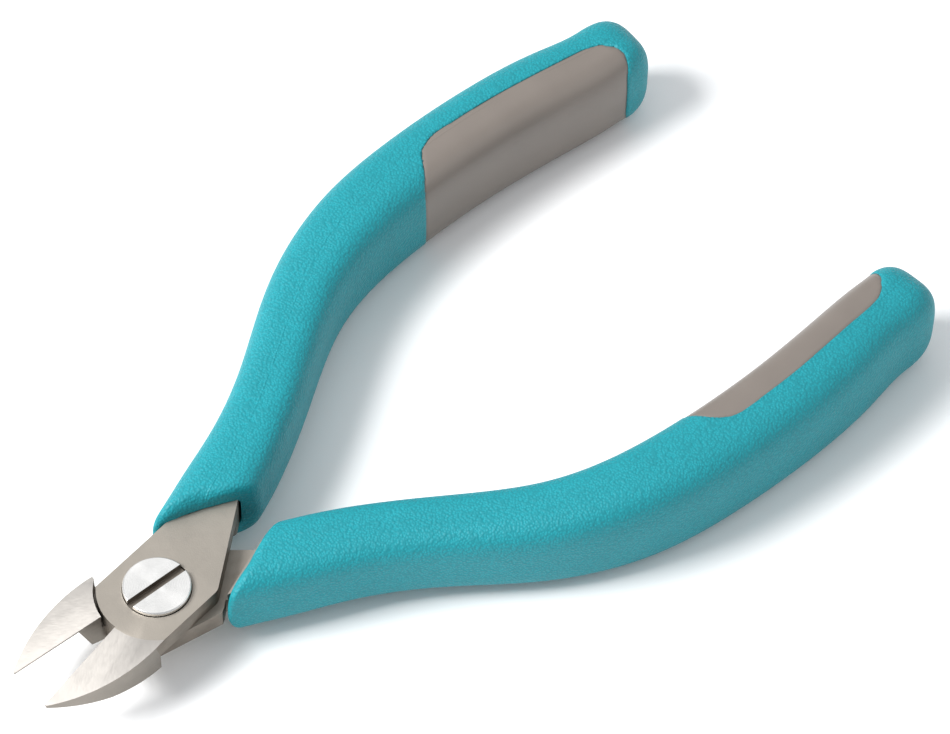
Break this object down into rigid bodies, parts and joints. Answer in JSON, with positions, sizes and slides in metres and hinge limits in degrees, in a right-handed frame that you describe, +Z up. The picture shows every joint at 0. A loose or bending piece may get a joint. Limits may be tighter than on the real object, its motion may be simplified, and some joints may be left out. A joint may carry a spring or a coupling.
{
  "type": "flush cutter",
  "caption": "Small spring-return flush cutter with oval tapered jaws, a slotted screw joint and curved two-colour soft grips, shown open.",
  "frame": {"origin": "under the middle of the open tool's bounding box, on the surface its grips lie on", "axes": "+X from the jaws to the handles, +Y towards the top lever's handle, +Z up along the pivot screw"},
  "size_m": [0.1317, 0.0746, 0.0149],
  "materials": {
    "lever_steel": "fine bead-blasted plates with satin-ground jaws",
    "screw_steel": "bright turned",
    "spring_steel": "bright drawn wire",
    "hard_grey": "smooth satin moulded",
    "soft_teal": "soft touch with a fine leather grain"
  },
  "bodies": {
    "top_handle": {"top_lever": "lever_steel", "top_grip_core": "hard_grey", "top_grip_cover": "soft_teal"},
    "bottom_handle": {"bottom_lever": "lever_steel", "bottom_grip_core": "hard_grey", "bottom_grip_cover": "soft_teal", "pivot_screw": "screw_steel", "return_spring": "spring_steel"}
  },
  "joints": [
    {"name": "pivot", "type": "hinge", "parent": "top_handle", "child": "bottom_handle", "pos_m": [-0.04467, 0, 0.00738], "axis": [0, 0, 1], "range_deg": [0, 16.8], "stiffness_Nm_per_rad": 0.25, "springref_deg": -14.32, "deforming": ["return_spring"]}
  ]
}
